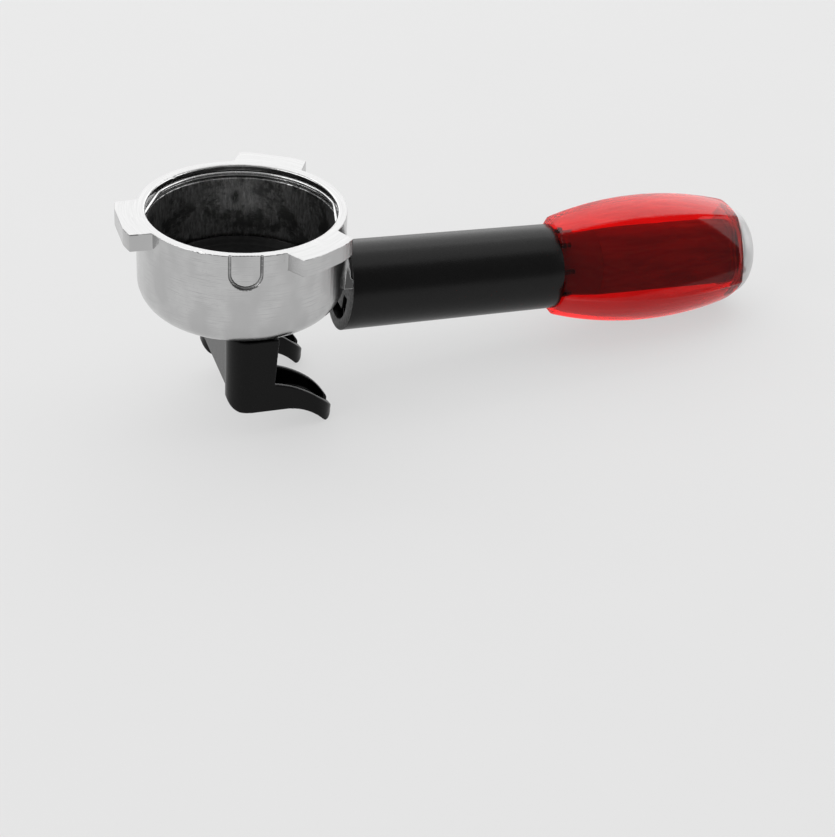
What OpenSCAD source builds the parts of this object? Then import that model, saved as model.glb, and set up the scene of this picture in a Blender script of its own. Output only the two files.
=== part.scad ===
// Portafilter for a small espresso machine.
// Origin: centre of the rim's top plane. +Z is up, out of the cup. +X points to the handle.
// All sizes are in millimetres.

/* [Cup] */
// Radius of the straight bore just under the rim, which takes the basket
basket_bore_r = 27.4; // [26:0.1:28]
// Outside radius of the cup
cup_r = 30.1; // [29.6:0.1:31]
// Height of the cup from its underside to the rim
cup_h = 30.5; // [29:0.5:33]
// Radius of the cup's bottom outside corner
cup_corner_r = 9; // [6:0.5:11]
// Thickness of the cup's floor
floor_t = 3.5; // [3:0.1:4]

/* [Bayonet lugs] */
// Outside radius of the lugs
lug_r = 36; // [34:0.1:37]
// Height of a lug
lug_h = 5.3; // [4:0.1:7]
// Half of the angle that the widest lug's outer face spans
lug_half_angle = 16.5; // [12:0.5:20]

/* [Handle] */
// Depth of the handle's axis under the rim, at the cup's axis
handle_drop = 28.4; // [27:0.1:30]
// Downward slope of the handle, in degrees
handle_slope = 0.9; // [0:0.1:3]
// Radius of the tube at its cup end
tube_r1 = 13.3; // [13.1:0.1:13.6]
// Radius of the tube at its grip end
tube_r2 = 12.8; // [12.4:0.1:13]
// Largest radius over the grip's edges
grip_r = 19.6; // [18.5:0.1:21]
// Length of the grip
grip_len = 59; // [56:0.5:62]
// How far the end cap stands out of the grip
cap_dome_h = 7.1; // [5:0.1:8]

/* [Double spout] */
// Distance between the two legs
leg_gap = 33.2; // [31:0.2:36]
// Width of a leg
leg_w = 13; // [12:0.5:14]
// Wall thickness of the spout
spout_wall = 1.5; // [1.2:0.1:2]
// Height of the flat underside of the legs, under the rim
leg_bottom = 55.1; // [54:0.1:58]

/* [Hidden] */
$fn = 96;
eps = 0.02;

// Cup: bore, spring groove and floor
cup_wall_r = 26.9;
rim_chamfer = 0.4;
groove_top = -1.9;
groove_bottom = -4.0;
groove_r = 28.35;
cup_bottom = -cup_h;
cup_floor = cup_bottom + floor_t;
inner_corner_r = 3;
drain_hole_r = 5.06;

// Lugs: angle from the handle, and how much narrower than the widest a lug is on each side
lugs = [[180, 0], [-60, 1.5], [61, 0.5]];
lug_root_spread = 6;

// Front pad: a flat with an arched groove round it
pad_angle = -101.5;
pad_w = 9.6;
pad_h = 10.5;
pad_flat = 29.45;
pad_groove_w = 0.8;
pad_groove_d = 0.35;
pad_cut_out = 2;

// Basket spring: wire with two straight stretches that grip the basket
wire_r = 0.55;
wire_ring_r = 27.75;
wire_z = -2.65;
wire_flat_angles = [-12, 152];
wire_flat_half = 15;
wire_gap = 8;

// Stack on the drain's axis
seal_t = 1.0;
washer_t = 0.6;
running_gap = 0.1;
screw_head_r = 7.5;
screw_head_h = 2.4;
screw_shank_r = 5;
screw_thread_r = 4;
screw_bore_r = 2.6;
screw_slot_w = 1.6;
screw_slot_d = 1.2;
spout_seal_t = 0.9;
spout_top = cup_bottom - spout_seal_t - running_gap;
screw_head_z = cup_floor + seal_t + washer_t + running_gap;
insert_r = 26.0;
insert_t = 2.0;
insert_rim_h = 4.3;
insert_hole_r = 9;
insert_lip = 1.2;
insert_lip_slope = 1;
insert_step = 0.6;
insert_slot_w = 3;
insert_slot_len = 6;
insert_slot_floor = 0.8;

// Spout: side view of a leg, in X and Z
leg_back = -8.5;
leg_front = 4;
post_lean = 1.7;
leg_nose = 23.5;
trough_top_r = 30.5;
trough_top_at = [-1.2, -76.4];
trough_under_r = 15;
trough_under_at = [8, -leg_bottom - 15];
back_corner_r = 3.5;
tip_corner_r = 2.8;
tip_low = -61.7;
bridge_x = [-8, 6];
bridge_bottom = -50;
boss_r = 5.8;
boss_bottom = -43;
mouth_w = 4.4;
mouth_depth = 5;

// Handle: distances along its own axis
tube_start = 30;
tube_end_tilt = 5.5;
grip_start = 96.4;
grip_mid = grip_start + 0.52 * grip_len;
grip_end = grip_start + grip_len;
tube_bore_r = 10;
web_t = 2.6;
web_hole_w = 15.8;
web_hole_top = -0.6;
web_hole_low = -10.3;
tongue_w = 8.8;
tongue_low = -5.4;
rib_w = 0.8;
rib_back = 1.5;
tube_wall_end = 90;
tang_end = 58;
tang_flat = -4.5;
neck_flat = 5;
neck_fit = 0.1;
neck_recess_z = 7.7;
neck_recess = 0.8;
spigot_r = 10.2;
spigot_end = 110;
bolt_r = 3;
bolt_clear_r = 3.3;
bolt_tip = 42;
bolt_seat = 145.5;
core_bore_r = 8.4;
seat_t = 4;
core_gap = 0.1;
flat_washer_t = 1.2;
lock_washer_t = 1.6;
lock_gap = 1;
bolt_head_r = 5;
bolt_head_h = 5;
hex_key_af = 5;
hex_key_d = 3;
cap_plug_r = 10.2;
cap_plug_depth = 2.5;
cap_plug_wall = 1.6;
cap_rim_r = 13.6;
grip_bore_r = 10.3;
grip_barrel_r = 104.6;
grip_wall = 2;
grip_end_wall = 1.6;
key_count = 8;
key_len = 4;
key_w = 1.2;
key_r = 11.2;
key_turn = 28.5;
key_fit = 0.05;
notch_w = 1.6;
notch_d = 1.2;
notch_len = 0.6;

// Sides of the grip: direction that each side faces, from -Y upward, and half its spread
grip_sides = [[90, 23], [27.5, 39.5], [-41, 29], [-90, 20], [-139, 29], [152.5, 39.5]];

// Puts a child, drawn along +X, on the handle's axis
module on_handle() {
    translate([0, 0, -handle_drop])
        rotate([0, handle_slope, 0])
            children();
}

// Round bar along +X between two distances
module bar(x1, x2, r) {
    translate([x1, 0, 0])
        rotate([0, 90, 0])
            cylinder(h = x2 - x1, r = r);
}

// Block between two corners
module block(low, high) {
    translate(low)
        cube(high - low);
}

// Flat ring round the vertical axis
module ring(z, h, r_out, r_in) {
    translate([0, 0, z])
        difference() {
            cylinder(h = h, r = r_out);
            translate([0, 0, -eps])
                cylinder(h = h + 2 * eps, r = r_in);
        }
}

// Side view with rounded lower corner, from the axis out to r
module rounded_half(r, top, bottom, corner) {
    translate([0, bottom])
        square([r - corner, top - bottom]);
    translate([0, bottom + corner])
        square([r, top - bottom - corner]);
    translate([r - corner, bottom + corner])
        circle(r = corner);
}

module cup_outside() {
    rotate_extrude()
        intersection() {
            rounded_half(cup_r, 0, cup_bottom, cup_corner_r);
            translate([0, cup_bottom])
                square([cup_r, cup_h]);
        }
}

module cup_inside() {
    rotate_extrude() {
        intersection() {
            rounded_half(cup_wall_r, 0, cup_floor, inner_corner_r);
            translate([0, cup_floor])
                square([cup_wall_r, -cup_floor]);
        }
        translate([0, groove_top])
            square([basket_bore_r, -groove_top + eps]);
        translate([0, groove_bottom])
            square([groove_r, groove_top - groove_bottom]);
        polygon([[0, -rim_chamfer], [basket_bore_r, -rim_chamfer],
                 [basket_bore_r + rim_chamfer + eps, eps], [0, eps]]);
    }
}

// One lug: a slice of a disc whose sides flare out to the wall
module lug(angle, trim) {
    tip = lug_r + 1;
    root = cup_r - 2;
    tip_half = lug_half_angle - trim;
    root_half = tip_half + lug_root_spread;
    rotate([0, 0, angle])
        translate([0, 0, -lug_h])
            intersection() {
                cylinder(h = lug_h, r = lug_r);
                linear_extrude(lug_h)
                    polygon([root * [cos(root_half), -sin(root_half)],
                             tip * [cos(tip_half), -sin(tip_half)],
                             tip * [cos(tip_half), sin(tip_half)],
                             root * [cos(root_half), sin(root_half)]]);
            }
}

// Arched outline of the front pad, standing on its straight top
module pad_outline(w, h) {
    translate([-w / 2, -h + w / 2])
        square([w, h - w / 2 + 1]);
    translate([0, -h + w / 2])
        circle(d = w);
}

// Cuts the pad's groove and flattens the wall inside it
module front_pad_cut() {
    rotate([0, 0, pad_angle + 90])
        translate([0, -pad_flat, 0])
            rotate([90, 0, 0]) {
                linear_extrude(pad_cut_out)
                    pad_outline(pad_w - 2 * pad_groove_w, pad_h - pad_groove_w);
                translate([0, 0, -pad_groove_d])
                    linear_extrude(pad_cut_out)
                        difference() {
                            pad_outline(pad_w, pad_h);
                            pad_outline(pad_w - 2 * pad_groove_w, pad_h - pad_groove_w);
                        }
            }
}

// Everything beyond a plane across the handle, parallel to the tube's slanted end
module beyond_end(shift, low) {
    translate([tube_start + shift, 0, 0])
        rotate([0, tube_end_tilt, 0])
            block([0, -20, low], [20, 20, 20]);
}

// Neck and tang: cover the top of the tube's end, then run inside the tube, moulded round them
module neck() {
    tang_r = tube_bore_r - neck_fit;
    shelf = neck_flat + neck_fit;
    tang_start = tube_start + web_t + neck_fit;
    on_handle() {
        difference() {
            intersection() {
                bar(cup_wall_r - 2.8, tube_start + 2, tube_r1 - neck_fit);
                block([0, -20, shelf], [tube_start + 2, 20, 20]);
            }
            beyond_end(-neck_fit, 0);
            beyond_end(-neck_recess, neck_recess_z);
        }
        intersection() {
            bar(tube_start - 2, tang_end, tang_r);
            block([tube_start - 2, -20, shelf], [tang_end, 20, 20]);
        }
        intersection() {
            bar(tang_start, tang_end, tang_r);
            block([tang_start, -20, tang_flat], [tang_end, 20, shelf + 1]);
        }
    }
}

module head_casting() {
    color("silver")
        difference() {
            union() {
                cup_outside();
                for (l = lugs)
                    lug(l[0], l[1]);
                neck();
            }
            cup_inside();
            front_pad_cut();
            translate([0, 0, cup_bottom - eps])
                cylinder(h = floor_t + 2 * eps, r = drain_hole_r);
            on_handle()
                bar(bolt_tip - 2, tang_end + 1, bolt_r);
        }
}

// Stretch of wire between two points of the ring, a little long so that it joins the arcs
module wire_chord(a1, a2) {
    half = wire_ring_r * sin((a2 - a1) / 2) + wire_r / 2;
    rotate([0, 0, (a1 + a2) / 2])
        translate([wire_ring_r * cos((a2 - a1) / 2), -half, wire_z])
            rotate([-90, 0, 0])
                cylinder(h = 2 * half, r = wire_r);
}

module wire_arc(a1, a2) {
    translate([0, 0, wire_z])
        rotate([0, 0, a1])
            rotate_extrude(angle = a2 - a1)
                translate([wire_ring_r, 0])
                    circle(r = wire_r);
}

// Bent wire ring, open beside its first straight stretch
module basket_spring() {
    first = wire_flat_angles[0];
    second = wire_flat_angles[1];
    color("lightgray") {
        wire_chord(first - wire_flat_half, first + wire_flat_half);
        wire_arc(first + wire_flat_half, second - wire_flat_half);
        wire_chord(second - wire_flat_half, second + wire_flat_half);
        wire_arc(second + wire_flat_half, first - wire_flat_half + 360 - wire_gap);
    }
}

// Black dish on the cup's floor, with a low rim and a hole for the screw's head
module floor_insert() {
    color("dimgray")
        translate([0, 0, cup_floor])
            difference() {
                rotate_extrude() {
                    polygon([[insert_hole_r, 0], [insert_r - inner_corner_r, 0],
                             [insert_r, inner_corner_r], [insert_r, insert_rim_h],
                             [insert_r - insert_lip, insert_rim_h],
                             [insert_r - insert_lip - insert_lip_slope, insert_t + insert_step],
                             [insert_hole_r, insert_t]]);
                }
                for (a = [45 : 90 : 315])
                    rotate([0, 0, a])
                        block([insert_hole_r - 1, -insert_slot_w / 2, insert_slot_floor],
                              [insert_hole_r + insert_slot_len, insert_slot_w / 2, insert_t + 1]);
            }
}

module drain_seal() {
    color("black")
        ring(cup_floor, seal_t, screw_head_r, drain_hole_r + 0.2);
}

module drain_washer() {
    color("silver")
        ring(cup_floor + seal_t, washer_t, screw_head_r + 0.3, drain_hole_r + 0.1);
}

// Hollow screw: its head sits in the cup, its thread holds the spout
module drain_screw() {
    head_top = screw_head_z + screw_head_h;
    color("silver")
        difference() {
            union() {
                translate([0, 0, screw_head_z])
                    cylinder(h = screw_head_h, r = screw_head_r);
                translate([0, 0, spout_top])
                    cylinder(h = screw_head_z - spout_top + eps, r = screw_shank_r);
                translate([0, 0, boss_bottom])
                    cylinder(h = spout_top - boss_bottom + eps, r = screw_thread_r);
            }
            translate([0, 0, boss_bottom - 1])
                cylinder(h = head_top - boss_bottom + 2, r = screw_bore_r);
            translate([-screw_head_r - 1, -screw_slot_w / 2, head_top - screw_slot_d])
                cube([2 * screw_head_r + 2, screw_slot_w, screw_slot_d + 1]);
        }
}

module spout_seal() {
    color("black")
        ring(cup_bottom - spout_seal_t, spout_seal_t, boss_r + 2, screw_shank_r + 0.4);
}

// Outline of a leg seen from above, shrunk by a wall thickness
module leg_plan(shrink) {
    r = leg_w / 2 - shrink;
    back = leg_back + leg_w / 2;
    nose = leg_nose - leg_w / 2;
    translate([back, 0])
        circle(r = r);
    translate([nose, 0])
        circle(r = r);
    translate([back, -r])
        square([nose - back, 2 * r]);
}

// Material left outside a rounded corner, to be cut away. The corner points to [sx, sy].
module corner_cut(at, r, sx, sy) {
    translate(at)
        difference() {
            translate([sx > 0 ? -r : -1, sy > 0 ? -r : -1])
                square(r + 1);
            translate([-sx * r, -sy * r])
                circle(r = r);
        }
}

// Side view of a leg: post, trough, flat underside and drooping tip
module leg_side() {
    difference() {
        union() {
            polygon([[leg_back, -leg_bottom], [leg_front, -leg_bottom],
                     [leg_front + post_lean, spout_top], [leg_back, spout_top]]);
            intersection() {
                translate(trough_top_at)
                    circle(r = trough_top_r);
                translate([leg_back, tip_low])
                    square([leg_nose - leg_back, -tip_low + trough_top_at[1] + trough_top_r]);
            }
        }
        translate(trough_under_at)
            circle(r = trough_under_r);
        translate([leg_back - 1, tip_low - 1])
            square([trough_under_at[0] - leg_back + 1, -leg_bottom - tip_low + 1]);
        corner_cut([leg_back, -leg_bottom], back_corner_r, -1, -1);
        corner_cut([leg_nose, tip_low], tip_corner_r, 1, -1);
    }
}

// Side view of the space inside a leg, open towards +X and along the trough's top
module leg_hollow_side() {
    inner_r = trough_under_r + spout_wall;
    peak = trough_top_at[1] + trough_top_r;
    difference() {
        union() {
            translate([leg_back, -leg_bottom + spout_wall])
                square([leg_front + post_lean + 1 - leg_back, spout_top + leg_bottom - 2 * spout_wall]);
            translate([leg_back, tip_low - 1])
                square([leg_nose + 1 - leg_back, peak - tip_low + 2]);
        }
        translate(trough_under_at)
            circle(r = inner_r);
        translate([leg_back - 1, tip_low - 2])
            square([trough_under_at[0] - leg_back + 1, -leg_bottom + spout_wall - tip_low + 2]);
        corner_cut([leg_back + spout_wall, -leg_bottom + spout_wall], back_corner_r - spout_wall, -1, -1);
    }
}

// Extrudes a side view, drawn in X and Z, sideways by w to each side
module sideways(w) {
    translate([0, w, 0])
        rotate([90, 0, 0])
            linear_extrude(2 * w)
                children();
}

module leg_outside() {
    intersection() {
        translate([0, 0, tip_low - 1])
            linear_extrude(spout_top - tip_low + 1)
                leg_plan(0);
        sideways(leg_w)
            leg_side();
    }
}

module leg_inside() {
    intersection() {
        union() {
            translate([0, 0, tip_low - 2])
                linear_extrude(spout_top - spout_wall - tip_low + 2)
                    leg_plan(spout_wall);
            // pouring mouth through the nose
            block([leg_nose - mouth_depth, -mouth_w / 2, tip_low - 2],
                  [leg_nose + 2, mouth_w / 2, trough_top_at[1] + trough_top_r]);
        }
        sideways(leg_w)
            leg_hollow_side();
    }
}

// Double spout: two open legs, a hollow bridge and the boss for the screw
module double_spout() {
    channel_floor = bridge_bottom + spout_wall;
    channel_top = spout_top - spout_wall;
    color([0.08, 0.08, 0.09])
        difference() {
            union() {
                for (side = [-1, 1])
                    translate([0, side * leg_gap / 2, 0])
                        leg_outside();
                block([bridge_x[0], -leg_gap / 2, bridge_bottom], [bridge_x[1], leg_gap / 2, spout_top]);
            }
            for (side = [-1, 1])
                translate([0, side * leg_gap / 2, 0])
                    leg_inside();
            difference() {
                block([bridge_x[0] + spout_wall, -leg_gap / 2, channel_floor],
                      [bridge_x[1] - spout_wall, leg_gap / 2, channel_top]);
                translate([0, 0, boss_bottom])
                    cylinder(h = channel_top - boss_bottom + 1, r = boss_r);
            }
            translate([0, 0, boss_bottom - 1])
                cylinder(h = spout_top - boss_bottom + 2, r = screw_thread_r);
        }
}

// Outline of the openings in the web across the tube's end: the tang's above, a U-shaped one below
module web_openings() {
    hole_r = web_hole_w / 2;
    intersection() {
        circle(r = tube_bore_r);
        translate([-20, neck_flat])
            square([40, 20]);
    }
    difference() {
        union() {
            translate([0, web_hole_low + hole_r])
                circle(r = hole_r);
            translate([-hole_r, web_hole_low + hole_r])
                square([web_hole_w, web_hole_top - web_hole_low - hole_r]);
        }
        translate([-20, web_hole_top])
            square([40, 20]);
        translate([-tongue_w / 2, tongue_low])
            square([tongue_w, 20]);
    }
}

// Tapered tube with a webbed, slanted end, and with a spigot and keys for the grip
module handle_tube() {
    color([0.08, 0.08, 0.09])
        on_handle()
            difference() {
                union() {
                    difference() {
                        translate([tube_start - 2, 0, 0])
                            rotate([0, 90, 0])
                                cylinder(h = grip_start - tube_start + 2, r1 = tube_r1, r2 = tube_r2);
                        bar(tube_start + web_t, tube_wall_end, tube_bore_r);
                        translate([tube_start - 3, 0, 0])
                            rotate([90, 0, 90])
                                linear_extrude(web_t + 4)
                                    web_openings();
                        translate([tube_start, 0, 0])
                            rotate([0, tube_end_tilt, 0])
                                block([-10, -20, -20], [0, 20, 20]);
                    }
                    tube_end_rib();
                    bar(tube_wall_end, spigot_end, spigot_r - 0.1);
                    for (k = [0 : key_count - 1])
                        rotate([k * 360 / key_count + key_turn, 0, 0])
                            block([grip_start - 1, -key_r, -key_w / 2], [grip_start + key_len, 0, key_w / 2]);
                }
                bar(tube_wall_end - 1, spigot_end + 1, bolt_clear_r);
            }
}

// Thin rib across the U-shaped opening, set back from the end
module tube_end_rib() {
    intersection() {
        bar(tube_start + rib_back, tube_start + web_t, tube_bore_r + 1);
        block([tube_start + rib_back, -rib_w / 2, -20], [tube_start + web_t, rib_w / 2, tongue_low + 1]);
    }
}

// Everything under one side of the barrel: a plane bent along the handle
module under_side(facing, half_spread, inset) {
    top = grip_r * cos(half_spread) - inset;
    bend_r = grip_barrel_r / cos(half_spread) - inset;
    rotate([facing - 90, 0, 0])
        translate([grip_mid, 0, 0])
            rotate([90, 0, 0])
                linear_extrude(2 * (grip_r + 2), center = true)
                    translate([0, top - bend_r])
                        circle(r = bend_r, $fn = 360);
}

// Six-sided barrel between two distances, with its sides moved in by inset
module barrel(start, end, inset) {
    intersection() {
        bar(start, end, grip_r + 1);
        under_side(grip_sides[0][0], grip_sides[0][1], inset);
        under_side(grip_sides[1][0], grip_sides[1][1], inset);
        under_side(grip_sides[2][0], grip_sides[2][1], inset);
        under_side(grip_sides[3][0], grip_sides[3][1], inset);
        under_side(grip_sides[4][0], grip_sides[4][1], inset);
        under_side(grip_sides[5][0], grip_sides[5][1], inset);
    }
}

// Hollow barrel: its end walls sit on the core, with slots for the tube's keys in one of them
module grip() {
    color([0.75, 0.05, 0.05, 0.8])
        on_handle()
            difference() {
                barrel(grip_start, grip_end, 0);
                barrel(grip_start + grip_end_wall, grip_end - grip_end_wall, grip_wall);
                bar(grip_start - 1, grip_end + 1, grip_bore_r);
                for (k = [0 : key_count - 1])
                    rotate([k * 360 / key_count + key_turn, 0, 0])
                        block([grip_start - 1, -key_r - key_fit, -key_w / 2 - key_fit],
                              [grip_start + key_len + 2 * key_fit, 0, key_w / 2 + key_fit]);
            }
}

// Black sleeve through the grip, with a wall inside that the bolt pulls on
module grip_core() {
    core_end = grip_end - cap_plug_depth - core_gap;
    color([0.1, 0.1, 0.1])
        on_handle()
            difference() {
                bar(spigot_end, core_end, spigot_r);
                bar(spigot_end - 1, bolt_seat - seat_t, core_bore_r);
                bar(bolt_seat - seat_t - 1, core_end + 1, bolt_clear_r);
                bar(bolt_seat, core_end + 1, core_bore_r);
            }
}

module tie_bolt() {
    under_head = bolt_seat + flat_washer_t + lock_washer_t;
    color("lightgray")
        on_handle()
            difference() {
                union() {
                    bar(bolt_tip, under_head + eps, bolt_r);
                    bar(under_head, under_head + bolt_head_h, bolt_head_r);
                }
                translate([under_head + bolt_head_h - hex_key_d, 0, 0])
                    rotate([0, 90, 0])
                        cylinder(h = hex_key_d + 1, r = hex_key_af / 2 / cos(30), $fn = 6);
            }
}

module bolt_washer() {
    color("lightgray")
        on_handle()
            difference() {
                bar(bolt_seat, bolt_seat + flat_washer_t, bolt_head_r + 1);
                bar(bolt_seat - 1, bolt_seat + flat_washer_t + 1, bolt_clear_r);
            }
}

// Split ring under the bolt's head
module lock_washer() {
    start = bolt_seat + flat_washer_t;
    color("gray")
        on_handle()
            difference() {
                bar(start, start + lock_washer_t, bolt_head_r - 0.2);
                bar(start - 1, start + lock_washer_t + 1, bolt_clear_r);
                block([start - 1, 0, -lock_gap / 2],
                      [start + lock_washer_t + 1, bolt_head_r + 1, lock_gap / 2]);
            }
}

// Section of the end cap, with its axis upright and the grip's end at zero
module end_cap_section() {
    dome_r = (cap_rim_r * cap_rim_r + cap_dome_h * cap_dome_h) / (2 * cap_dome_h);
    intersection() {
        translate([0, cap_dome_h - dome_r])
            circle(r = dome_r);
        square([cap_rim_r, cap_dome_h + 1]);
    }
    translate([cap_plug_r - cap_plug_wall, -cap_plug_depth])
        square([cap_plug_wall, cap_plug_depth + 1]);
}

// Domed cap with a hollow plug that presses into the grip's bore
module end_cap() {
    color([0.75, 0.76, 0.77])
        on_handle()
            difference() {
                translate([grip_end, 0, 0])
                    rotate([0, 90, 0])
                        rotate_extrude()
                            end_cap_section();
                // notch for prising the cap off
                block([grip_end - 1, -cap_rim_r - 1, -notch_w / 2],
                      [grip_end + notch_len, -cap_rim_r + notch_d, notch_w / 2]);
            }
}

head_casting();
basket_spring();
floor_insert();
drain_seal();
drain_washer();
drain_screw();
spout_seal();
double_spout();
handle_tube();
grip();
grip_core();
tie_bolt();
bolt_washer();
lock_washer();
end_cap();
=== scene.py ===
import math

import bmesh
import bpy
import numpy as np
from mathutils import Matrix, Vector


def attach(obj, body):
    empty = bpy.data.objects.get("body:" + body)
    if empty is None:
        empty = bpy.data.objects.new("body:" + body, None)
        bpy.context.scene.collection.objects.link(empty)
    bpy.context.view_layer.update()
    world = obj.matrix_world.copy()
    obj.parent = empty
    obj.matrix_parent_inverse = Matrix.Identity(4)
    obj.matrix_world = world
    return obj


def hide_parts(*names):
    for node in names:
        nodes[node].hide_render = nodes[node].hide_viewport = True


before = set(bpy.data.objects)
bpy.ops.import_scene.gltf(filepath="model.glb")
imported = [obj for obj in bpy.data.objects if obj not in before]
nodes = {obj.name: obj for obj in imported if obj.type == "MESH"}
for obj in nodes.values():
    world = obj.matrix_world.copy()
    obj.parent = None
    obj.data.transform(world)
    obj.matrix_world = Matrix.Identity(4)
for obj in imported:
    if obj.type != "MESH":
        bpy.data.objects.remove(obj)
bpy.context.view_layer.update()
MM = 0.001

# The handle's axis: it starts under the rim and slopes down towards +X.
AXIS_DROP, AXIS_SLOPE = 28.4, 0.9
AXIS = Matrix.Translation((0, 0, -AXIS_DROP * MM)) @ Matrix.Rotation(math.radians(AXIS_SLOPE), 4, "Y")
INNER_R = 10.35  # just over the grip's bore; what lies nearer the axis is seen through the grip
MOST_TRIANGLES = 180000
LUGS = (180, -60, 61)  # directions from the handle, in degrees


# ---------------------------------------------------------------- mesh helpers


def add_object(name, mesh):
    obj = bpy.data.objects.new(name, mesh)
    bpy.context.scene.collection.objects.link(obj)
    return obj


def bake(obj):
    """Applies an object's modifiers."""
    bpy.context.view_layer.update()
    dg = bpy.context.evaluated_depsgraph_get()
    mesh = bpy.data.meshes.new_from_object(obj.evaluated_get(dg))
    old = obj.data
    obj.modifiers.clear()
    obj.data = mesh
    if old.users == 0:
        bpy.data.meshes.remove(old)
    return obj


def cad_copy(name, node):
    """A copy of a CAD node's mesh with its vertices joined."""
    bm = bmesh.new()
    bm.from_mesh(nodes[node].data)
    bmesh.ops.remove_doubles(bm, verts=bm.verts, dist=2e-6)
    mesh = bpy.data.meshes.new(name)
    bm.to_mesh(mesh)
    bm.free()
    mesh.materials.clear()
    return add_object(name, mesh)


def coords(obj):
    co = np.zeros(len(obj.data.vertices) * 3)
    obj.data.vertices.foreach_get("co", co)
    return co.reshape(-1, 3)


def set_coords(obj, co):
    obj.data.vertices.foreach_set("co", co.ravel())
    obj.data.update()


def remesh(obj, voxel):
    mod = obj.modifiers.new("voxels", "REMESH")
    mod.mode = "VOXEL"
    mod.voxel_size = voxel * MM
    bake(obj)


def relax(obj, passes, weight=None):
    """Smooths; weight gives each vertex's share, from 0 to 1."""
    mod = obj.modifiers.new("relax", "SMOOTH")
    mod.factor = 0.5
    mod.iterations = passes
    if weight is not None:
        group = obj.vertex_groups.new(name="w")
        levels = np.round(weight * 10).astype(int)
        for level in range(1, 11):
            group.add(np.nonzero(levels == level)[0].tolist(), level / 10, "REPLACE")
        mod.vertex_group = "w"
    bake(obj)
    obj.vertex_groups.clear()


def thin_out(obj):
    obj.data.calc_loop_triangles()
    count = len(obj.data.loop_triangles)
    if count > MOST_TRIANGLES:
        mod = obj.modifiers.new("thin", "DECIMATE")
        mod.ratio = MOST_TRIANGLES / count
        bake(obj)


def shade_smooth(obj):
    obj.data.polygons.foreach_set("use_smooth", [True] * len(obj.data.polygons))
    obj.data.update()


def lathe(name, profile, segments):
    """Turns (distance along the axis, radius) points round the X axis, in mm; a closed profile."""
    n = len(profile)
    verts, faces = [], []
    for i in range(segments):
        a = 2 * math.pi * i / segments
        for x, r in profile:
            verts.append((x * MM, r * math.cos(a) * MM, r * math.sin(a) * MM))
    for i in range(segments):
        j = (i + 1) % segments
        for k in range(n):
            m = (k + 1) % n
            faces.append((i * n + k, i * n + m, j * n + m, j * n + k))
    mesh = bpy.data.meshes.new(name)
    mesh.from_pydata(verts, [], faces)
    bm = bmesh.new()
    bm.from_mesh(mesh)
    bmesh.ops.remove_doubles(bm, verts=bm.verts, dist=1e-7)
    bmesh.ops.dissolve_degenerate(bm, dist=1e-8, edges=bm.edges)
    bmesh.ops.recalc_face_normals(bm, faces=bm.faces)
    bm.to_mesh(mesh)
    bm.free()
    return add_object(name, mesh)


def edge_bevel(obj, width=0.15, segments=2, angle=30):
    """Small rounded edges on a CAD node or a copy of one."""
    weld = obj.modifiers.new("weld", "WELD")
    weld.merge_threshold = 2e-6
    mod = obj.modifiers.new("bevel", "BEVEL")
    mod.width = width * MM
    mod.segments = segments
    mod.limit_method = "ANGLE"
    mod.angle_limit = math.radians(angle)
    mod.harden_normals = False
    mod.use_clamp_overlap = True


# ---------------------------------------------------------------- materials


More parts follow.
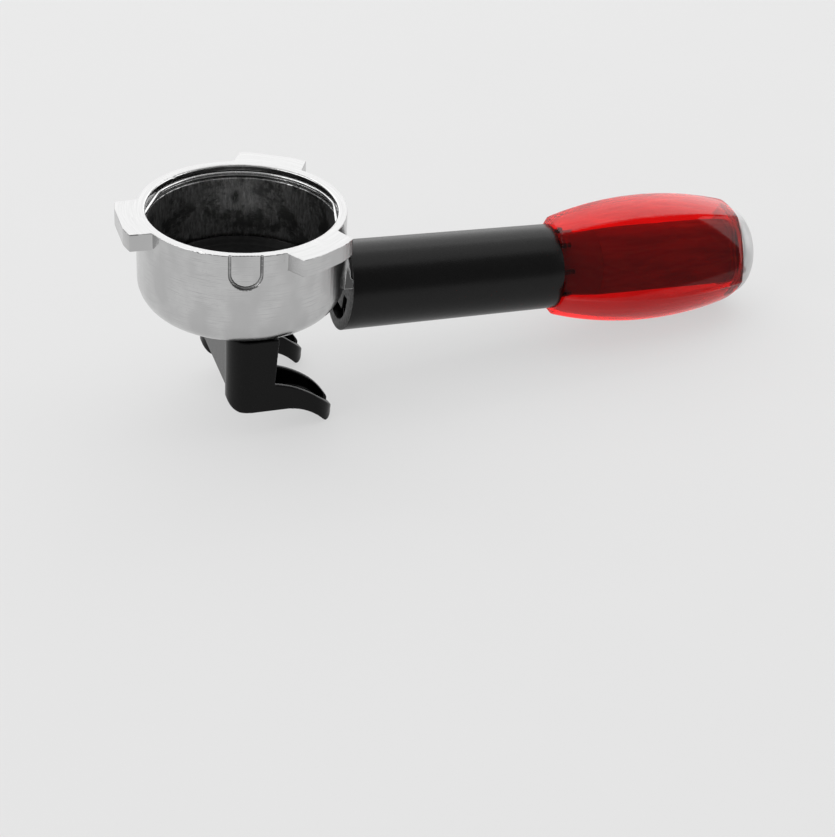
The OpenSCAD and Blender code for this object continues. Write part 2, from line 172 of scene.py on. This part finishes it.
class Nodes:
    """Builds a procedural material. Coordinates are the piece's own, in millimetres."""

    def __init__(self, name):
        self.mat = bpy.data.materials.new(name)
        self.mat.use_nodes = True
        self.nt = self.mat.node_tree
        self.bsdf = self.nt.nodes["Principled BSDF"]
        self.out = self.nt.nodes["Material Output"]
        tex = self.node("ShaderNodeTexCoord")
        self.mm = self.vec("SCALE", tex.outputs["Object"], scale=1000.0)
        sep = self.node("ShaderNodeSeparateXYZ")
        self.link(self.mm, sep.inputs[0])
        self.x, self.y, self.z = sep.outputs

    def node(self, kind, **props):
        made = self.nt.nodes.new(kind)
        for key, value in props.items():
            setattr(made, key, value)
        return made

    def link(self, a, b):
        self.nt.links.new(a, b)

    def put(self, value, socket):
        if hasattr(value, "is_output"):
            self.link(value, socket)
        else:
            socket.default_value = value

    def math(self, op, a, b=None):
        made = self.node("ShaderNodeMath", operation=op)
        for value, socket in zip((a, b), made.inputs):
            if value is not None:
                self.put(value, socket)
        return made.outputs[0]

    def times(self, a, b):
        return self.math("MULTIPLY", a, b)

    def plus(self, a, b):
        return self.math("ADD", a, b)

    def vec(self, op, a, b=None, scale=None):
        made = self.node("ShaderNodeVectorMath", operation=op)
        self.put(a, made.inputs[0])
        if b is not None:
            self.put(b, made.inputs[1])
        if scale is not None:
            made.inputs["Scale"].default_value = scale
        return made.outputs["Value" if op == "LENGTH" else "Vector"]

    def combine(self, x, y, z):
        made = self.node("ShaderNodeCombineXYZ")
        for value, socket in zip((x, y, z), made.inputs):
            self.put(value, socket)
        return made.outputs[0]

    def noise(self, scale, detail=3.0, rough=0.5, at=None, distortion=0.0):
        made = self.node("ShaderNodeTexNoise")
        self.link(at if at is not None else self.mm, made.inputs["Vector"])
        made.inputs["Scale"].default_value = scale
        made.inputs["Detail"].default_value = detail
        made.inputs["Roughness"].default_value = rough
        made.inputs["Distortion"].default_value = distortion
        return made.outputs["Fac"]

    def voronoi(self, scale):
        made = self.node("ShaderNodeTexVoronoi", feature="F1")
        self.link(self.mm, made.inputs["Vector"])
        made.inputs["Scale"].default_value = scale
        return made.outputs["Distance"]

    def ramp(self, value, low, high, out_low=0.0, out_high=1.0):
        made = self.node("ShaderNodeMapRange", interpolation_type="SMOOTHSTEP")
        self.put(value, made.inputs["Value"])
        numbers = {"From Min": low, "From Max": high, "To Min": out_low, "To Max": out_high}
        for name, number in numbers.items():
            made.inputs[name].default_value = number
        return made.outputs["Result"]

    def mix(self, fac, a, b):
        made = self.node("ShaderNodeMix", data_type="RGBA")
        self.put(fac, made.inputs["Factor"])
        self.put(a, [s for s in made.inputs if s.name == "A" and s.type == "RGBA"][0])
        self.put(b, [s for s in made.inputs if s.name == "B" and s.type == "RGBA"][0])
        return [s for s in made.outputs if s.type == "RGBA"][0]

    def bump(self, height, distance, normal=None):
        made = self.node("ShaderNodeBump")
        made.inputs["Strength"].default_value = 1.0
        made.inputs["Distance"].default_value = distance * MM
        self.link(height, made.inputs["Height"])
        if normal is not None:
            self.link(normal, made.inputs["Normal"])
        return made.outputs["Normal"]

    def set(self, **values):
        names = {
            "color": "Base Color", "metallic": "Metallic", "rough": "Roughness", "normal": "Normal",
            "ior": "IOR", "specular": "Specular IOR Level", "coat": "Coat Weight",
            "coat_rough": "Coat Roughness", "transmission": "Transmission Weight",
        }
        for key, value in values.items():
            self.put(value, self.bsdf.inputs[names[key]])
        return self.mat


def grey(v):
    return (v, v, v, 1.0)


def cast_metal():
    """Satin casting; its rim is machined, its bore darker and scratched, and its pad's groove and the
    wall beside the neck darkened with painted shade.
    """
    m = Nodes("cast_metal")
    flat = m.combine(m.x, m.y, 0.0)
    radius = m.vec("LENGTH", flat)
    angle = m.math("ARCTAN2", m.y, m.x)
    top = m.ramp(m.z, -0.14, -0.03)
    in_bore = m.times(m.ramp(radius, 28.0, 27.6), m.ramp(m.z, -27.6, -27.1))
    bore = m.times(in_bore, m.ramp(m.z, -1.6, -2.4))
    lip = m.times(in_bore, m.ramp(m.z, -2.2, -1.8))
    mottle = m.noise(0.30, 3.0, 0.55)
    grain = m.noise(3.2, 3.0, 0.6)
    fine = m.noise(10.0, 2.0, 0.5)
    level = m.combine(m.times(angle, 3.0), m.times(m.z, 4.0), 0.0)
    brushed = m.noise(1.0, 3.0, 0.6, at=level)
    skin = m.mix(m.ramp(mottle, 0.3, 0.7), grey(0.55), grey(0.585))
    skin = m.mix(m.ramp(m.noise(1.6, 3.0, 0.7), 0.64, 0.76), skin, grey(0.42))

    # painted shade: the arched groove round the front pad is darkened, in the pad's own directions
    turn = math.radians(-11.5)
    across = m.plus(m.times(m.x, math.cos(turn)), m.times(m.y, math.sin(turn)))
    below = m.math("MINIMUM", m.plus(m.z, 5.7), 0.0)
    reach = m.vec("LENGTH", m.combine(across, below, 0.0))
    groove = m.times(m.ramp(reach, 3.8, 4.15), m.ramp(reach, 5.0, 4.65))
    in_front = m.times(m.ramp(m.y, -27.0, -28.0), m.ramp(m.z, -0.1, -0.6))
    groove = m.times(groove, in_front)
    skin = m.mix(m.times(groove, 0.75), skin, grey(0.06))

    skin = m.mix(m.ramp(brushed, 0.50, 0.72), skin, grey(0.46))
    upright = m.combine(m.times(angle, 2.6), m.times(m.z, 0.05), 0.0)
    bands = m.noise(1.0, 2.0, 0.5, at=upright)
    skin = m.mix(m.ramp(bands, 0.42, 0.6), skin, grey(0.50))
    # painted shade: the cup's outer wall on the handle's side, below the rim, is darkened where shade
    # falls by the neck
    neck_shade = m.times(m.ramp(m.math("ABSOLUTE", angle), 0.70, 0.62), m.ramp(m.z, -5.0, -6.5))
    neck_shade = m.times(neck_shade, m.ramp(radius, 28.0, 29.0))
    skin = m.mix(neck_shade, skin, grey(0.26))

    # the machined top
    round_rim = m.combine(m.times(radius, 3.2), m.times(angle, 2.0), 0.0)
    rings = m.noise(1.0, 2.0, 0.6, at=round_rim)
    cut = m.mix(m.ramp(rings, 0.3, 0.7), grey(0.47), grey(0.52))

    # the bore: streaks down it, dark blots, light scuffs round it and one dark ragged patch at the back
    turned = m.combine(m.times(angle, 34.0), m.times(m.z, 0.30), 0.0)
    streaks = m.noise(1.0, 3.0, 0.7, at=turned, distortion=0.3)
    blots = m.noise(0.10, 5.0, 0.7, distortion=0.2)
    wall = m.mix(m.ramp(streaks, 0.32, 0.72), grey(0.38), grey(0.78))
    wall = m.mix(m.ramp(blots, 0.47, 0.60), wall, grey(0.20))
    level = m.combine(m.times(angle, 9.0), m.times(m.z, 5.0), 0.0)
    patches = m.ramp(m.noise(0.15, 2.0, 0.5), 0.40, 0.60, 0.8, 1.15)
    scuffs = m.times(m.noise(1.0, 3.0, 0.6, at=level), patches)
    wall = m.mix(m.times(m.ramp(scuffs, 0.66, 0.74), 0.6), wall, grey(0.8))
    from_patch = m.combine(m.plus(m.x, -4.5), 0.0, m.times(m.plus(m.z, 10.0), 0.5))
    ragged = m.plus(m.vec("LENGTH", from_patch), m.times(m.noise(0.8, 3.0, 0.6), 1.6))
    dark_patch = m.times(m.ramp(ragged, 2.9, 0.9), m.ramp(m.y, 20.0, 24.0))
    wall = m.mix(m.times(dark_patch, m.ramp(streaks, 0.25, 0.5)), wall, grey(0.05))

    color = m.mix(top, skin, cut)
    color = m.mix(lip, color, grey(0.62))
    color = m.mix(bore, color, wall)
    rough = m.plus(m.ramp(mottle, 0.2, 0.8, 0.10, 0.17), m.times(bore, 0.18))
    bumpy = m.plus(m.times(grain, 0.6), m.times(fine, 0.4))
    bumpy = m.times(bumpy, m.math("SUBTRACT", 1.0, m.times(top, 0.85)))
    normal = m.bump(bumpy, 0.035)
    normal = m.bump(m.times(rings, top), 0.004, normal=normal)
    normal = m.bump(m.times(streaks, bore), 0.05, normal=normal)
    return m.set(color=color, metallic=1.0, rough=rough, normal=normal)


def steel(name, level=0.6, rough=0.3, along=(0.3, 6.0, 6.0)):
    """Drawn or turned steel with fine lines; `along` stretches them."""
    m = Nodes(name)
    lines = m.noise(1.0, 4.0, 0.6, at=m.vec("MULTIPLY", m.mm, along))
    spots = m.noise(0.8, 3.0, 0.6)
    color = m.mix(m.ramp(spots, 0.35, 0.7), grey(level * 0.85), grey(level))
    return m.set(color=color, metallic=1.0, rough=m.ramp(lines, 0.2, 0.8, rough - 0.06, rough + 0.08),
                 normal=m.bump(lines, 0.01))


def black_plastic(name, level=0.010, rough=0.26, grain=0.5, sleeve=None, ior=1.27):
    """Satin moulded plastic: faint orange peel, a fine grain and a few specks of dust.

    sleeve is where the piece lies inside the grip; such a piece's near end face is painted lighter, with
    scuff marks and painted light.
    """
    m = Nodes(name)
    peel = m.noise(0.45, 2.0, 0.4)
    fine = m.noise(6.0, 3.0, 0.6)
    dust = m.ramp(m.voronoi(1.3), 0.10, 0.03)
    patch = m.ramp(m.noise(0.12, 2.0, 0.5), 0.45, 0.65)
    dust = m.times(dust, patch)
    color = m.mix(m.ramp(peel, 0.3, 0.7), grey(level * 0.8), grey(level * 1.25))
    color = m.mix(m.times(dust, 0.25), color, grey(0.12))
    r = m.plus(m.ramp(fine, 0.2, 0.8, rough - 0.03, rough + 0.05), m.times(dust, 0.2))
    if sleeve:
        facing = m.node("ShaderNodeSeparateXYZ")
        m.link(m.node("ShaderNodeNewGeometry").outputs["Normal"], facing.inputs[0])
        # painted light: the end face towards the head is lightened to look lit, with scuff marks in it
        lit_and_scuffed = m.times(m.ramp(facing.outputs[0], -0.8, -0.95), m.ramp(m.x, 36.0, 34.0))
        marks = m.ramp(m.noise(1.1, 4.0, 0.7), 0.3, 0.6, 0.35, 1.0)
        color = m.mix(m.times(lit_and_scuffed, marks), color, grey(0.24))
        r = m.plus(r, m.times(lit_and_scuffed, 0.2))
        inside = beside_core(m, *sleeve)
        color = m.mix(inside, color, grey(0.11))
        r = m.plus(r, m.times(inside, 0.35))
    height = m.plus(m.times(fine, 0.12 * grain), m.times(peel, 1.0))
    return m.set(color=color, rough=r, normal=m.bump(height, 0.03), ior=ior)


def above_axis(m):
    """Height over the handle's axis."""
    return m.plus(m.times(m.x, math.tan(math.radians(AXIS_SLOPE))), m.plus(m.z, AXIS_DROP))


def beside_core(m, low, high):
    """1 inside the grip, between two distances along the handle, near its axis."""
    out = m.vec("LENGTH", m.combine(0.0, m.y, above_axis(m)))
    along = m.times(m.math("GREATER_THAN", m.x, low), m.math("LESS_THAN", m.x, high))
    return m.times(along, m.math("LESS_THAN", out, INNER_R))


def rubber(name):
    m = Nodes(name)
    n = m.noise(1.5, 3.0, 0.6)
    return m.set(color=m.mix(n, grey(0.012), grey(0.03)), rough=m.ramp(n, 0.2, 0.8, 0.6, 0.75),
                 normal=m.bump(n, 0.02))


def satin_silver():
    """Light grey satin plastic of the end cap, with a fine flake."""
    m = Nodes("cap_satin")
    flake = m.voronoi(7.0)
    cloud = m.noise(0.25, 3.0, 0.5)
    color = m.mix(m.ramp(cloud, 0.3, 0.7), grey(0.57), grey(0.64))
    color = m.mix(m.ramp(flake, 0.1, 0.5, 0.25, 0.0), color, grey(0.75))
    inside = beside_core(m, 150.0, 155.4)
    color = m.mix(inside, color, grey(0.11))
    metallic = m.times(m.math("SUBTRACT", 1.0, inside), 0.25)
    return m.set(color=color, metallic=metallic, rough=m.ramp(cloud, 0.2, 0.8, 0.34, 0.42),
                 normal=m.bump(m.noise(5.0, 2.0, 0.5), 0.012))


def red_clear():
    """Clear red plastic: colour comes from its thickness, with faint moulding streaks along it."""
    m = Nodes("grip_red")
    waves = m.vec("MULTIPLY", m.mm, (0.035, 0.16, 0.16))
    flow = m.noise(1.0, 2.0, 0.5, at=waves, distortion=0.8)
    ripples = m.vec("MULTIPLY", m.mm, (0.05, 0.42, 0.42))
    streaks = m.noise(1.0, 2.0, 0.5, at=ripples, distortion=0.5)
    scratches = m.noise(1.0, 2.0, 0.6, at=m.vec("MULTIPLY", m.mm, (0.2, 3.0, 3.0)))
    normal = m.bump(flow, 0.32)
    normal = m.bump(streaks, 0.07, normal=normal)
    normal = m.bump(scratches, 0.003, normal=normal)
    color = m.mix(m.ramp(flow, 0.42, 0.60), (0.84, 0.12, 0.10, 1.0), (1.0, 0.34, 0.16, 1.0))
    rough = m.ramp(scratches, 0.45, 0.8, 0.02, 0.08)
    # painted shade: the lower sides are a deeper red; they are also less polished
    shaded_matte_under = m.ramp(above_axis(m), -3.4, -5.0)
    color = m.mix(shaded_matte_under, color, (0.70, 0.06, 0.06, 1.0))
    coat = m.math("SUBTRACT", 1.0, m.times(shaded_matte_under, 0.6))
    soak = m.node("ShaderNodeVolumeAbsorption")
    soak.inputs["Color"].default_value = (1.0, 0.10, 0.03, 1.0)
    soak.inputs["Density"].default_value = 1700.0
    m.link(soak.outputs[0], m.out.inputs["Volume"])
    m.bsdf.inputs["Coat IOR"].default_value = 1.34
    return m.set(color=color, rough=rough, normal=normal, transmission=1.0, ior=1.05,
                 coat=coat, coat_rough=0.03)


def core_sleeve():
    """The sleeve inside the grip: dull dark grey with flow marks."""
    m = Nodes("core_plastic")
    flow = m.noise(1.0, 3.0, 0.6, at=m.vec("MULTIPLY", m.mm, (0.05, 0.35, 0.35)))
    return m.set(color=m.mix(m.ramp(flow, 0.3, 0.7), grey(0.09), grey(0.14)), rough=0.6,
                 normal=m.bump(flow, 0.05))


CAST = cast_metal()
WIRE = steel("spring_wire", 0.75, 0.22, (1.0, 1.0, 1.0))
SCREW = steel("screw_steel", 0.6, 0.28, (1.0, 1.0, 5.0))
BOLT = steel("bolt_steel", 0.5, 0.32, (5.0, 1.0, 1.0))
TUBE = black_plastic("tube_plastic", 0.0015, 0.28, sleeve=(96.6, 112.0), ior=1.34)
SPOUT = black_plastic("spout_plastic", 0.0005, 0.25)
CORE = core_sleeve()
INSERT = black_plastic("insert_plastic", 0.012, 0.5, 2.0)
RUBBER = rubber("seal_rubber")
CAP = satin_silver()
RED = red_clear()


def finish_piece(obj, material, body, stands_for):
    obj.data.materials.clear()
    obj.data.materials.append(material)
    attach(obj, body)
    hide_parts(stands_for)


# ---------------------------------------------------------------- head casting

head = cad_copy("head_shell", "head_casting")
remesh(head, 0.20)
co = coords(head) / MM
x, y, z = co.T
radius = np.hypot(x, y)
angle = np.degrees(np.arctan2(y, x))
# soften the roots of the lugs and of the neck
near_lug = np.zeros(len(co))
for lug in LUGS:
    off = np.abs((angle - lug + 180) % 360 - 180)
    near_lug = np.maximum(near_lug, np.clip((27 - off) / 4, 0, 1))
root = near_lug * np.clip(1 - np.abs(radius - 30.4) / 2.0, 0, 1)
root *= np.clip((z + 8) / 1.5, 0, 1) * (z < -0.4)
neck = np.clip(1 - np.abs(radius - 30.0) / 2.0, 0, 1) * (x > 20) * (np.abs(y) < 15) * (z < -12)
relax(head, 3)
relax(head, 14, np.maximum(root * 0.5, neck * 0.6))
co = coords(head) / MM
# the smoothed top is put back in its plane
co[co[:, 2] > -0.05, 2] = 0.0
# two small nicks in the rim: direction, radius, size and depth
for where, r, size, depth in ((-125.5, 30.1, 1.0, 0.35), (122.7, 27.6, 0.9, 0.3)):
    at = (r * math.cos(math.radians(where)), r * math.sin(math.radians(where)))
    far = np.hypot(co[:, 0] - at[0], co[:, 1] - at[1]) / size
    co[:, 2] -= depth * np.clip(1 - far, 0, 1) * (co[:, 2] > -1.0)
set_coords(head, co * MM)
thin_out(head)
shade_smooth(head)
head.data.set_sharp_from_angle(angle=math.radians(32))
flat_tops = head.modifiers.new("flat_tops", "WEIGHTED_NORMAL")
flat_tops.keep_sharp = True
flat_tops.weight = 80
finish_piece(head, CAST, "head", "head_casting")


# ---------------------------------------------------------------- basket spring

WIRE_R, RING_R, WIRE_Z = 0.55, 27.75, -2.65
FLATS, FLAT_HALF, GAP = (-12.0, 152.0), 15.0, 8.0


def ring_point(a):
    return Vector((RING_R * math.cos(math.radians(a)), RING_R * math.sin(math.radians(a)), WIRE_Z))


def chord(middle):
    steps = 14
    a, b = ring_point(middle - FLAT_HALF), ring_point(middle + FLAT_HALF)
    return [a.lerp(b, i / steps) for i in range(steps + 1)]


def arc(a, b):
    steps = int(abs(b - a) / 3)
    return [ring_point(a + (b - a) * i / steps) for i in range(1, steps)]


path = chord(FLATS[0]) + arc(FLATS[0] + FLAT_HALF, FLATS[1] - FLAT_HALF)
path += chord(FLATS[1]) + arc(FLATS[1] + FLAT_HALF, FLATS[0] - FLAT_HALF + 360 - GAP)
curve = bpy.data.curves.new("basket_wire", "CURVE")
curve.dimensions = "3D"
curve.bevel_depth = WIRE_R * MM
curve.bevel_resolution = 5
curve.use_fill_caps = True
spline = curve.splines.new("POLY")
spline.points.add(len(path) - 1)
for i, (point, p) in enumerate(zip(spline.points, path)):
    point.co = (*(p * MM), 1.0)
    end = min(i, len(path) - 1 - i)
    point.radius = 0.8 if end == 0 else 1.0
wire = add_object("basket_wire_curve", curve)
bpy.context.view_layer.update()
wire_mesh = bpy.data.meshes.new_from_object(wire.evaluated_get(bpy.context.evaluated_depsgraph_get()))
bpy.data.objects.remove(wire)
wire = add_object("basket_wire", wire_mesh)
shade_smooth(wire)
finish_piece(wire, WIRE, "head", "basket_spring")


# ---------------------------------------------------------------- double spout

spout = cad_copy("spout_shell", "double_spout")
remesh(spout, 0.24)
# draw the nose of both tips in a little, then round its lower end into the underside's arc
TIP_AT, TIP_R = (21.0, -59.2), 1.97
NOSE_WAY = (0.643, -0.766)  # from the arc's centre, 50 degrees down from +X
co = coords(spout) / MM
co[:, 0] -= 0.5 * np.clip((-55.0 - co[:, 2]) / 4.2, 0, 1) * np.clip((co[:, 0] - 17.0) / 6.5, 0, 1) ** 2
across, rise = co[:, 0] - TIP_AT[0], co[:, 2] - TIP_AT[1]
away = np.hypot(across, rise)
beyond = (rise < 0) & (away > TIP_R) & (NOSE_WAY[0] * across + NOSE_WAY[1] * rise > 0)
co[beyond, 0] = TIP_AT[0] + across[beyond] * TIP_R / away[beyond]
co[beyond, 2] = TIP_AT[1] + rise[beyond] * TIP_R / away[beyond]
set_coords(spout, co * MM)
relax(spout, 6)
thin_out(spout)
shade_smooth(spout)
finish_piece(spout, SPOUT, "spout", "double_spout")


# ---------------------------------------------------------------- handle tube

tube = cad_copy("tube_shell", "handle_tube")
edge_bevel(tube, 0.3, 3)
shade_smooth(tube)
finish_piece(tube, TUBE, "head", "handle_tube")


# ---------------------------------------------------------------- grip

GRIP_START, GRIP_END, GRIP_R, BARREL_R, BORE_R = 96.4, 155.4, 19.6, 104.6, 10.3
WALL, END_WALL = 2.0, 1.6
GRIP_MID = GRIP_START + 0.52 * (GRIP_END - GRIP_START)
SIDES = ((90, 23), (27.5, 39.5), (-41, 29), (-90, 20), (-139, 29), (152.5, 39.5))
CROWN_R = 53.0
EDGE_SOFT = 0.14


def barrel(x):
    """Radius over the grip's edges at a distance along it."""
    return GRIP_R - BARREL_R + math.sqrt(BARREL_R ** 2 - (x - GRIP_MID) ** 2)


def grip_radius(phi, x, inset=0.0):
    """Radius of the crowned sides in one direction, moved in by inset; their edges are softened."""
    reach = []
    for facing, half in SIDES:
        off = math.radians((phi - facing + 180) % 360 - 180)
        if abs(off) > math.radians(75):
            continue
        rim = barrel(x)
        h = rim * math.sin(math.radians(half))
        d = rim * math.cos(math.radians(half))
        centre = d - math.sqrt(CROWN_R ** 2 - h ** 2)
        # distance to the circle of the crown, whose centre lies behind the axis
        s = centre * math.sin(off)
        reach.append(centre * math.cos(off) + math.sqrt((CROWN_R - inset) ** 2 - s ** 2))
    low = min(reach)
    return low - EDGE_SOFT * math.log(sum(math.exp(-(r - low) / EDGE_SOFT) for r in reach))


edges = [f + s * h for f, h in SIDES for s in (-1, 1)]
angles = set()
for i in range(240):
    angles.add(round(i * 1.5, 3))
for e in edges:
    for k in range(-8, 9):
        angles.add(round((e + k * 0.35) % 360, 3))
angles = sorted(angles)


STATIONS, INNER_STATIONS, END_RINGS = 72, 40, 5
FLAT_R = 11.0  # the end faces are flat up to here
EDGE = 0.25
START_CURVE = 0.3  # the near end face curves back this much of the far one


def end_drop(r):
    """How far the far end face curves back at a radius."""
    return 0.085 * max(0.0, r - 12.0) ** 1.6


def end_radii(rim):
    return [FLAT_R + (rim - EDGE - FLAT_R) * k / END_RINGS for k in range(1, END_RINGS + 1)]


def corner(a, edge, b):
    """Four points of the curve from a to b that rounds an edge."""
    out = []
    for k in range(1, 5):
        t = k / 5
        out.append(tuple((1 - t) ** 2 * a[c] + 2 * t * (1 - t) * edge[c] + t ** 2 * b[c] for c in (0, 1)))
    return out


def grip_profile(phi):
    """The grip's section in one direction: (distance along the axis, radius), outside first."""
    lead = end_drop(grip_radius(phi, GRIP_START)) * START_CURVE
    tail = end_drop(grip_radius(phi, GRIP_END))
    # the long side lies between the two curved end faces
    side = []
    for i in range(STATIONS + 1):
        x = GRIP_START + lead + (GRIP_END - tail - GRIP_START - lead) * i / STATIONS
        side.append((x, grip_radius(phi, x)))
    (x0, r0), (x1, r1) = side[0], side[-1]
    near = [(GRIP_START + end_drop(r) * START_CURVE, r) for r in end_radii(r0)]
    far = [(GRIP_END - end_drop(r), r) for r in reversed(end_radii(r1))]
    out = [(GRIP_START, BORE_R + EDGE), (GRIP_START, FLAT_R)] + near
    out += corner(near[-1], (x0, r0), (x0 + 0.3, r0)) + side[1:-1]
    out += corner((x1 - 0.3, r1), (x1, r1), far[0]) + far
    out += [(GRIP_END, FLAT_R), (GRIP_END, BORE_R + EDGE), (GRIP_END - EDGE, BORE_R)]
    # the hollow
    first, last = GRIP_START + END_WALL, GRIP_END - END_WALL
    out += [(last + 0.2, BORE_R), (last, BORE_R + 0.2)]
    for k in range(INNER_STATIONS + 1):
        x = last + (first - last) * k / INNER_STATIONS
        r = grip_radius(phi, x, WALL) - (0.4 if k in (0, INNER_STATIONS) else 0.0)
        out.append((x, max(r, BORE_R + EDGE)))
    return out + [(first, BORE_R + 0.2), (first - 0.2, BORE_R), (GRIP_START + EDGE, BORE_R)]


verts, faces = [], []
rows = []
for phi in angles:
    a = math.radians(phi)
    rows.append([(x, r * math.cos(a), r * math.sin(a)) for x, r in grip_profile(phi)])
n = len(rows[0])
for row in rows:
    verts += [tuple(AXIS @ (Vector(p) * MM)) for p in row]
for i in range(len(rows)):
    j = (i + 1) % len(rows)
    for k in range(n):
        m = (k + 1) % n
        faces.append((i * n + k, i * n + m, j * n + m, j * n + k))
mesh = bpy.data.meshes.new("grip_shell")
mesh.from_pydata(verts, [], faces)
bm = bmesh.new()
bm.from_mesh(mesh)
bmesh.ops.recalc_face_normals(bm, faces=bm.faces)
bm.to_mesh(mesh)
bm.free()
grip = add_object("grip_shell", mesh)
shade_smooth(grip)
finish_piece(grip, RED, "head", "grip")


# ---------------------------------------------------------------- end cap

DOME_H, DOME_R, DOME_STEPS = 7.08, 13.6, 24
PLUG_R, PLUG_BORE_R, PLUG_LEN, PLUG_ROOM = 10.2, 8.6, 2.5, 2.0
cap_profile = []
for k in range(DOME_STEPS):
    a = math.radians(90 * k / DOME_STEPS)
    cap_profile.append((GRIP_END + DOME_H * math.sin(a), DOME_R * math.cos(a) ** 0.9))
cap_profile += [
    (GRIP_END + DOME_H, 0.0), (GRIP_END + PLUG_ROOM, 0.0), (GRIP_END + PLUG_ROOM, PLUG_BORE_R),
    (GRIP_END - PLUG_LEN, PLUG_BORE_R), (GRIP_END - PLUG_LEN, PLUG_R), (GRIP_END, PLUG_R),
]
cap = lathe("cap_dome", cap_profile, 160)
# a small notch in the dome's edge, on the front side
NOTCH_R = 12.5
co = coords(cap) / MM
x, y, z = co.T
reach = np.hypot(y, z)
notch = (y < 0) & (np.abs(z) < 0.85) & (x < GRIP_END + 0.8) & (reach > NOTCH_R)
co[notch, 1] *= NOTCH_R / reach[notch]
set_coords(cap, co * MM)
cap.data.transform(AXIS)
shade_smooth(cap)
finish_piece(cap, CAP, "head", "end_cap")


# ---------------------------------------------------------------- CAD nodes that stay

for name, material, width in (
    ("floor_insert", INSERT, 0.25), ("drain_seal", RUBBER, 0.15), ("drain_washer", SCREW, 0.1),
    ("drain_screw", SCREW, 0.2), ("spout_seal", RUBBER, 0.15), ("grip_core", CORE, 0.2),
    ("tie_bolt", BOLT, 0.2), ("bolt_washer", BOLT, 0.15), ("lock_washer", BOLT, 0.1),
):
    node = nodes[name]
    node.data.materials.clear()
    node.data.materials.append(material)
    edge_bevel(node, width)


# ---------------------------------------------------------------- floor, light and camera

# The object rests on its spout's tips and on the grip, so the floor leans a little in the row's frame.
TIP_X = TIP_AT[0] * MM
low_spout = coords(spout)[:, 2].min()
co = coords(grip)
slope = ((co[:, 2] - low_spout) / (co[:, 0] - TIP_X)).min()
tilt = math.atan(slope)
floor_mat = Nodes("floor_paper")
fibre = floor_mat.noise(0.02, 4.0, 0.5)
floor_mat.set(color=floor_mat.mix(fibre, grey(0.225), grey(0.235)), rough=0.9, specular=0.1)
floor_mat.bsdf.inputs["Emission Color"].default_value = (1, 1, 1, 1)
floor_mat.bsdf.inputs["Emission Strength"].default_value = 0.55
FLOOR_HALF, FLOOR_GAP = 6.0, 0.0002
mesh = bpy.data.meshes.new("floor")
bm = bmesh.new()
bmesh.ops.create_grid(bm, x_segments=8, y_segments=8, size=FLOOR_HALF)
bm.to_mesh(mesh)
bm.free()
floor = add_object("floor", mesh)
floor.data.materials.append(floor_mat.mat)
floor.rotation_euler = (0, -tilt, 0)
floor.location = (TIP_X, 0, low_spout - FLOOR_GAP)

world = bpy.data.worlds.new("studio")
bpy.context.scene.world = world
world.use_nodes = True
world.node_tree.nodes["Background"].inputs["Color"].default_value = (1, 1, 1, 1)
world.node_tree.nodes["Background"].inputs["Strength"].default_value = 0.25


def softbox(name, at, size, power, target=(0.06, 0, -0.03)):
    light = bpy.data.lights.new(name, "AREA")
    light.shape = "RECTANGLE"
    light.size, light.size_y = size
    light.energy = power
    obj = bpy.data.objects.new(name, light)
    bpy.context.scene.collection.objects.link(obj)
    obj.location = at
    obj.rotation_euler = (Vector(target) - Vector(at)).to_track_quat("-Z", "Y").to_euler()
    return obj


softbox("back_panel", (0.25, 1.6, 0.95), (4.6, 2.2), 46.0)
softbox("top_panel", (0.1, 0.3, 2.2), (3.4, 2.2), 22.0)
softbox("left_panel", (-1.7, -0.2, 0.7), (1.8, 1.2), 12.0)
softbox("right_panel", (1.8, -0.3, 0.7), (1.6, 1.2), 10.0)

cam_data = bpy.data.cameras.new("camera")
cam = bpy.data.objects.new("camera", cam_data)
bpy.context.scene.collection.objects.link(cam)
SENSOR, FOCAL_PX, FRAME_PX = 36.0, 2085.94, 837
AZ, EL, ROLL = map(math.radians, (-19.578, 32.443, 3.567))
DISTANCE, SHIFT_U, SHIFT_V = 0.593496, -0.049959, 0.060215
back = Vector((math.sin(AZ) * math.cos(EL), -math.cos(AZ) * math.cos(EL), math.sin(EL)))
side = Vector((0, 0, 1)).cross(back).normalized()
up = back.cross(side)
right = side * math.cos(ROLL) + up * math.sin(ROLL)
top = up * math.cos(ROLL) - side * math.sin(ROLL)
cam.matrix_world = Matrix((
    (right.x, top.x, back.x, 0), (right.y, top.y, back.y, 0), (right.z, top.z, back.z, 0), (0, 0, 0, 1),
))
cam.location = back * DISTANCE - right * SHIFT_U - top * SHIFT_V
cam_data.sensor_width = SENSOR
cam_data.lens = FOCAL_PX / FRAME_PX * SENSOR
cam_data.clip_start, cam_data.clip_end = 0.01, 50.0
bpy.context.scene.camera = cam

bpy.context.scene.view_settings.view_transform = "Standard"
bpy.context.scene.view_settings.look = "None"

bpy.context.view_layer.update()
